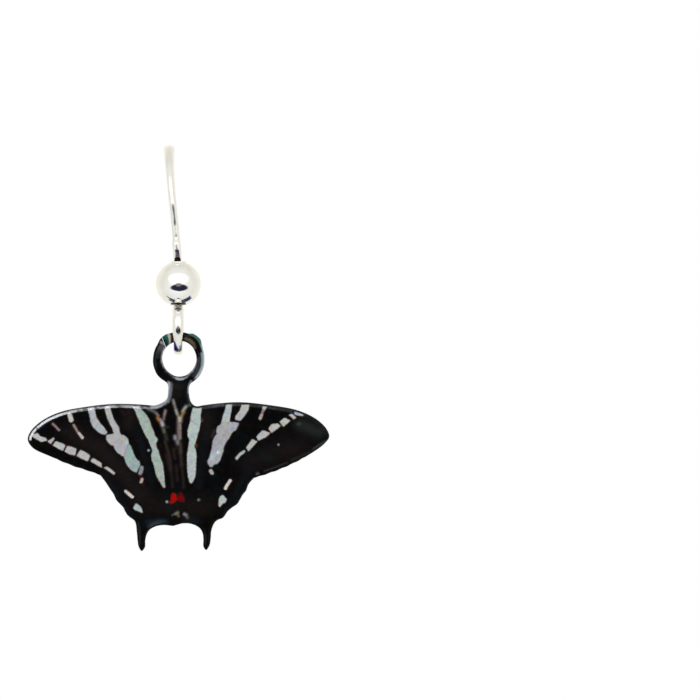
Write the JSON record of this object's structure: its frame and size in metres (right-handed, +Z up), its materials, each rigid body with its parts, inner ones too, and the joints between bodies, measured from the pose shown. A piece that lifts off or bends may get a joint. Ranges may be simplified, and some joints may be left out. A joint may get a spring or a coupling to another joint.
{
  "type": "butterfly drop earring",
  "caption": "Fish-hook drop earring: a wire hook with a ball bead and eye carries a flat black swallowtail butterfly charm on a split ring.",
  "frame": {"origin": "inner top of the hook's bend, where it hangs in the ear", "axes": "+Z up, along the hanging height; the charm's face looks along -Y; +X to the right of someone who faces it"},
  "size_m": [0.0271, 0.0128, 0.0366],
  "materials": {
    "wire": "polished silver-coloured wire",
    "bead": "polished silver-coloured ball",
    "charm": "black coated metal with a glossy print of pale wing stripes"
  },
  "bodies": {
    "hook": {"ear_wire": "wire"},
    "ball": {"bead": "bead"},
    "pendant": {"charm": "charm"}
  },
  "joints": [
    {"name": "charm_swing", "type": "hinge", "parent": "hook", "child": "pendant", "pos_m": [0.00085, -0.005, -0.01782], "axis": [0, 1, 0], "range_deg": [-90, 90]},
    {"name": "bead_spin", "type": "hinge", "parent": "hook", "child": "ball", "pos_m": [0.00087, -0.005, -0.01194], "axis": [0, 0, 1], "continuous": true}
  ]
}
